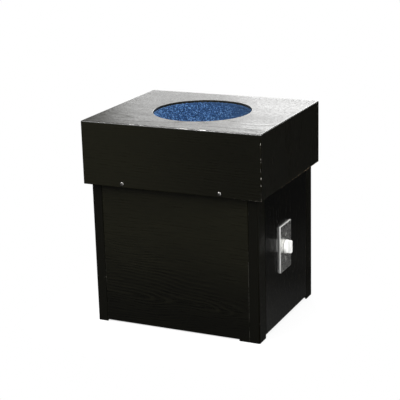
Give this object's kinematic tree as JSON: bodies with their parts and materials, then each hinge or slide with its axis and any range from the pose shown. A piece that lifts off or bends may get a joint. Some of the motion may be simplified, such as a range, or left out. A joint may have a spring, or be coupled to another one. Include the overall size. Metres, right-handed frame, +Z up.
{
  "type": "pool ball polisher",
  "caption": "Black lacquered oak cabinet with a deep lid; balls drop through its round carpeted mouth onto a motor-driven turntable, run by a wind-up timer on the side.",
  "frame": {"origin": "on the floor, under the middle of the part's bounding box; the turntable's axis is 2.5 mm to the left of it, because the timer knob stands out on the right", "axes": "+Z up along the turntable's axis, -Y out of the front panel, +X out of the side that carries the timer"},
  "size_m": [0.4558, 0.3814, 0.4985],
  "materials": {
    "black_oak": "ebonised oak under satin lacquer",
    "plywood": "plain birch plywood",
    "blue_carpet": "short loop pile, flecked",
    "dark_screw": "dark plated",
    "plate_steel": "brushed",
    "galvanised": "zinc plated",
    "machined_steel": "bright",
    "cast_aluminium": "as cast",
    "motor_paint": "satin enamel",
    "core_steel": "varnished laminations",
    "white_plastic": "gloss",
    "black_plastic": "moulded",
    "black_rubber": "matt"
  },
  "bodies": {
    "cabinet": {"post_front_left": "black_oak", "post_front_right": "black_oak", "post_back_left": "black_oak", "post_back_right": "black_oak", "front_panel": "black_oak", "back_panel": "black_oak", "left_panel": "black_oak", "right_panel": "black_oak", "lid_top": "black_oak", "lid_skirt_front": "black_oak", "lid_skirt_back": "black_oak", "lid_skirt_left": "black_oak", "lid_skirt_right": "black_oak", "lid_screw_front_left": "dark_screw", "lid_screw_front_right": "dark_screw", "lid_screw_back_left": "dark_screw", "lid_screw_back_right": "dark_screw", "motor_deck": "plywood", "deck_cleat_left": "plywood", "deck_cleat_right": "plywood", "tub_wall": "plywood", "wall_carpet": "blue_carpet", "motor_shell": "motor_paint", "motor_top_bell": "cast_aluminium", "motor_bottom_bell": "cast_aluminium", "stator": "core_steel", "top_bearing": "machined_steel", "bottom_bearing": "machined_steel", "motor_mount_1": "black_rubber", "motor_mount_2": "black_rubber", "motor_mount_3": "black_rubber", "motor_mount_4": "black_rubber", "motor_bolt_1": "machined_steel", "motor_bolt_2": "machined_steel", "motor_bolt_3": "machined_steel", "motor_bolt_4": "machined_steel", "capacitor": "cast_aluminium", "capacitor_strap": "galvanised", "strap_screw_1": "machined_steel", "strap_screw_2": "machined_steel", "switch_box": "galvanised", "timer_body": "black_plastic", "wall_plate": "plate_steel", "plate_screw_upper": "plate_steel", "plate_screw_lower": "plate_steel", "cord_grommet": "black_rubber", "motor_lead": "black_rubber", "capacitor_lead": "black_rubber"},
    "turntable_drive": {"turntable": "plywood", "turntable_carpet": "blue_carpet", "hub": "cast_aluminium", "hub_set_screw": "machined_steel", "turntable_screw_1": "machined_steel", "turntable_screw_2": "machined_steel", "turntable_screw_3": "machined_steel", "motor_shaft": "machined_steel", "rotor": "core_steel", "cooling_fan": "black_plastic"},
    "timer_dial": {"timer_knob": "white_plastic", "timer_shaft": "machined_steel"}
  },
  "joints": [
    {"name": "turntable_spin", "type": "hinge", "parent": "cabinet", "child": "turntable_drive", "pos_m": [-0.0025, 0, 0.36045], "axis": [0, 0, 1], "continuous": true},
    {"name": "timer_knob_turn", "type": "hinge", "parent": "cabinet", "child": "timer_dial", "pos_m": [0.21343, -0.0143, 0.1878], "axis": [-1, 0, 0], "range_deg": [0, 300], "stiffness_Nm_per_rad": 0.01}
  ]
}
